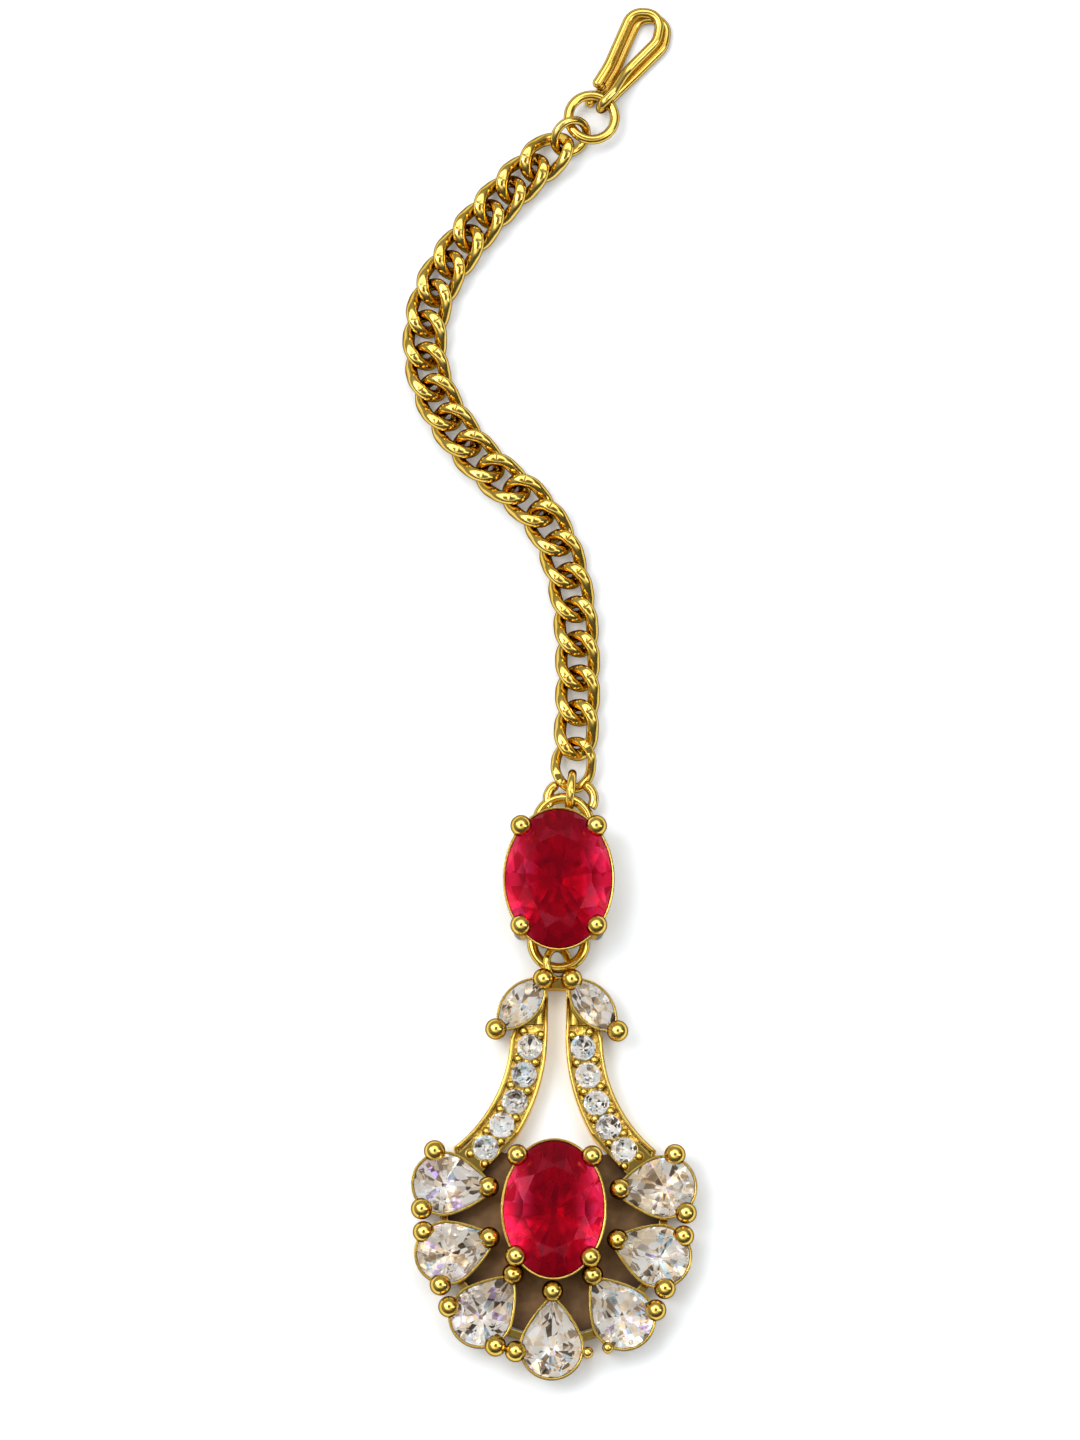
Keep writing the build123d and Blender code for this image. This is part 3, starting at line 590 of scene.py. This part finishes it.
# %% Engraved lines
FAN_ROOT = Vector((1.72, 13.60, 1.81)) * MM
FAN_ANGLES = (177, 168, 159, 150, 142, 134, 127)
TO_THE_RIM = 0.84  # from the root straight across to the rim beside the slot, in mm
LONGEST_LINE = 1.75
LINE_LENGTH = 0.9  # a share of the reach, so that the lines don't meet at the root
LINE_MIDDLE = 0.55
THIN_END = 0.04 * MM
THICK_END = 0.075 * MM
ribs = bmesh.new()
for angle in FAN_ANGLES:
    reach = min(TO_THE_RIM / -cos(radians(angle)), LONGEST_LINE) * MM
    lie = Matrix.Translation(FAN_ROOT) @ Matrix.Rotation(radians(angle), 4, "Z")
    lie = lie @ Matrix.Rotation(pi / 2, 4, "Y") @ Matrix.Translation((0, 0, LINE_MIDDLE * reach))
    bmesh.ops.create_cone(
        ribs, cap_ends=True, segments=8, radius1=THIN_END, radius2=THICK_END,
        depth=LINE_LENGTH * reach, matrix=lie,
    )
both_arms(ribs, "arm_engraving")

# %% [markdown]
# ## Table
# The jewel lies on white card, which could be any large flat plane. This one glows very
# faintly, as a light table does, so that the small shadows in the chain don't turn black.

# %% White table
card, nodes, links, shader = new_material("white_card")
shader.inputs["Base Color"].default_value = (0.90, 0.93, 0.97, 1)
shader.inputs["Roughness"].default_value = 0.9
shader.inputs["Emission Color"].default_value = (0.84, 0.92, 1.0, 1)
shader.inputs["Emission Strength"].default_value = 0.12
shape = bmesh.new()
bmesh.ops.create_grid(shape, x_segments=1, y_segments=1, size=1.6)
table = placed("table", shape, (card,))
print("the table is", [round(side, 2) for side in table.dimensions], "m")

# %% [markdown]
# ## Camera
# The camera looks down from half a metre, square on to the jewel and leaning back a little. Its
# long lens keeps the hook and the drop at nearly the same scale. A short lens close up would
# take in the same length, but it would swell whatever is nearest.

# %% Camera, square on to the jewel and leaning back a little
AIM = Vector((-0.596, -2.579, 0)) * MM
CAMERA_HEIGHT_ANGLE = radians(80.0)
CAMERA_DISTANCE = 0.500
camera_data = bpy.data.cameras.new("camera")
camera_data.lens = 170.0
camera_data.sensor_width = 36.0
camera_data.clip_start = 0.01
camera = bpy.data.objects.new("camera", camera_data)
bpy.context.scene.collection.objects.link(camera)
back = Vector((0, -cos(CAMERA_HEIGHT_ANGLE), sin(CAMERA_HEIGHT_ANGLE)))
camera.location = AIM + back * CAMERA_DISTANCE
camera.rotation_euler = back.to_track_quat("Z", "Y").to_euler()
bpy.context.scene.camera = camera
print("the camera is at", [round(value, 3) for value in camera.location])

# %% [markdown]
# ## Lamps
# Gold needs both bright lamps and dark gaps to look like metal. Two soft boxes, one on each
# side of the camera, make the long shines and the faint shadows. Small lamps would give hard
# shadows and tiny hot spots instead. The left one is the brighter, which gives the jewel depth.


# %% Soft boxes
def soft_box(name, place, width, height, brightness):
    """A flat lamp that faces the jewel; brightness is how bright its own face looks."""
    lamp = bpy.data.lights.new(name, "AREA")
    lamp.shape = "RECTANGLE"
    lamp.size = width
    lamp.size_y = height
    lamp.energy = brightness * pi * width * height
    holder = bpy.data.objects.new(name, lamp)
    bpy.context.scene.collection.objects.link(holder)
    holder.location = place
    holder.rotation_euler = (Vector(place) - AIM).to_track_quat("Z", "Y").to_euler()
    print(name, round(lamp.energy, 3), "W")


soft_box("box_left", (-0.34, 0.10, 0.52), width=0.24, height=0.42, brightness=3.4)
soft_box("box_right", (0.40, -0.08, 0.44), width=0.16, height=0.42, brightness=2.2)

# %% [markdown]
# ## Light tent
# Small shiny things are often lit in a tent of white cloth, with a hole for the lens. Each ball
# then shows a bright ring with a dark dot in it. The tent could be a mesh dome, but the world
# itself can be one: its colour is a ramp on how high a direction points, dim at the table and
# white high up. Its strength falls to less than a tenth straight overhead, and is greater on
# the upper left, so that each ball also has a bright cap and a darker foot.

# %% Cloth that is dim below and white above
TENT_FOOT = 0.10
TENT_STOPS = ((0.35, 0.10), (0.58, 0.13), (0.72, 0.35), (0.80, 1.0))  # height and whiteness
world = bpy.data.worlds.new("light_tent")
world.use_nodes = True
nodes, links = world.node_tree.nodes, world.node_tree.links
direction = nodes.new("ShaderNodeTexCoord").outputs["Generated"]
height = nodes.new("ShaderNodeSeparateXYZ")
links.new(direction, height.inputs["Vector"])
tent = nodes.new("ShaderNodeValToRGB")
tent.color_ramp.elements[0].color = (TENT_FOOT, TENT_FOOT, TENT_FOOT, 1)
tent.color_ramp.elements[1].color = (1, 1, 1, 1)
for position, white in TENT_STOPS:
    tent.color_ramp.elements.new(position).color = (white, white, white, 1)
links.new(height.outputs["Z"], tent.inputs["Fac"])
print("the tent has", len(tent.color_ramp.elements), "stops")

# %% A dark opening overhead, and more light from the upper left
OPENING_SPAN = (cos(radians(24)), cos(radians(14)))  # its edge, from outside to inside
OPENING_GLOW = (2.2, 0.18)
BRIGHT_SIDE = (-0.6, 0.8, 0.0)
SLANT_SPAN = (-0.5, 0.5)  # -1 is the far side from the bright one, 1 is the bright side itself
SLANT_GLOW = (0.40, 1.60)
opening = ranged(nodes, links, height.outputs["Z"], OPENING_SPAN, OPENING_GLOW)
sideways = nodes.new("ShaderNodeVectorMath")
sideways.operation = "DOT_PRODUCT"
sideways.inputs[1].default_value = BRIGHT_SIDE
links.new(direction, sideways.inputs[0])
slant = ranged(nodes, links, sideways.outputs["Value"], SLANT_SPAN, SLANT_GLOW)
glow = nodes.new("ShaderNodeMath")
glow.operation = "MULTIPLY"
links.new(opening, glow.inputs[0])
links.new(slant, glow.inputs[1])
backdrop = nodes["Background"]
links.new(tent.outputs["Color"], backdrop.inputs["Color"])
links.new(glow.outputs["Value"], backdrop.inputs["Strength"])
bpy.context.scene.world = world
bpy.context.scene.view_settings.view_transform = "Standard"
print("the tent glows by", OPENING_GLOW, "times", SLANT_GLOW)
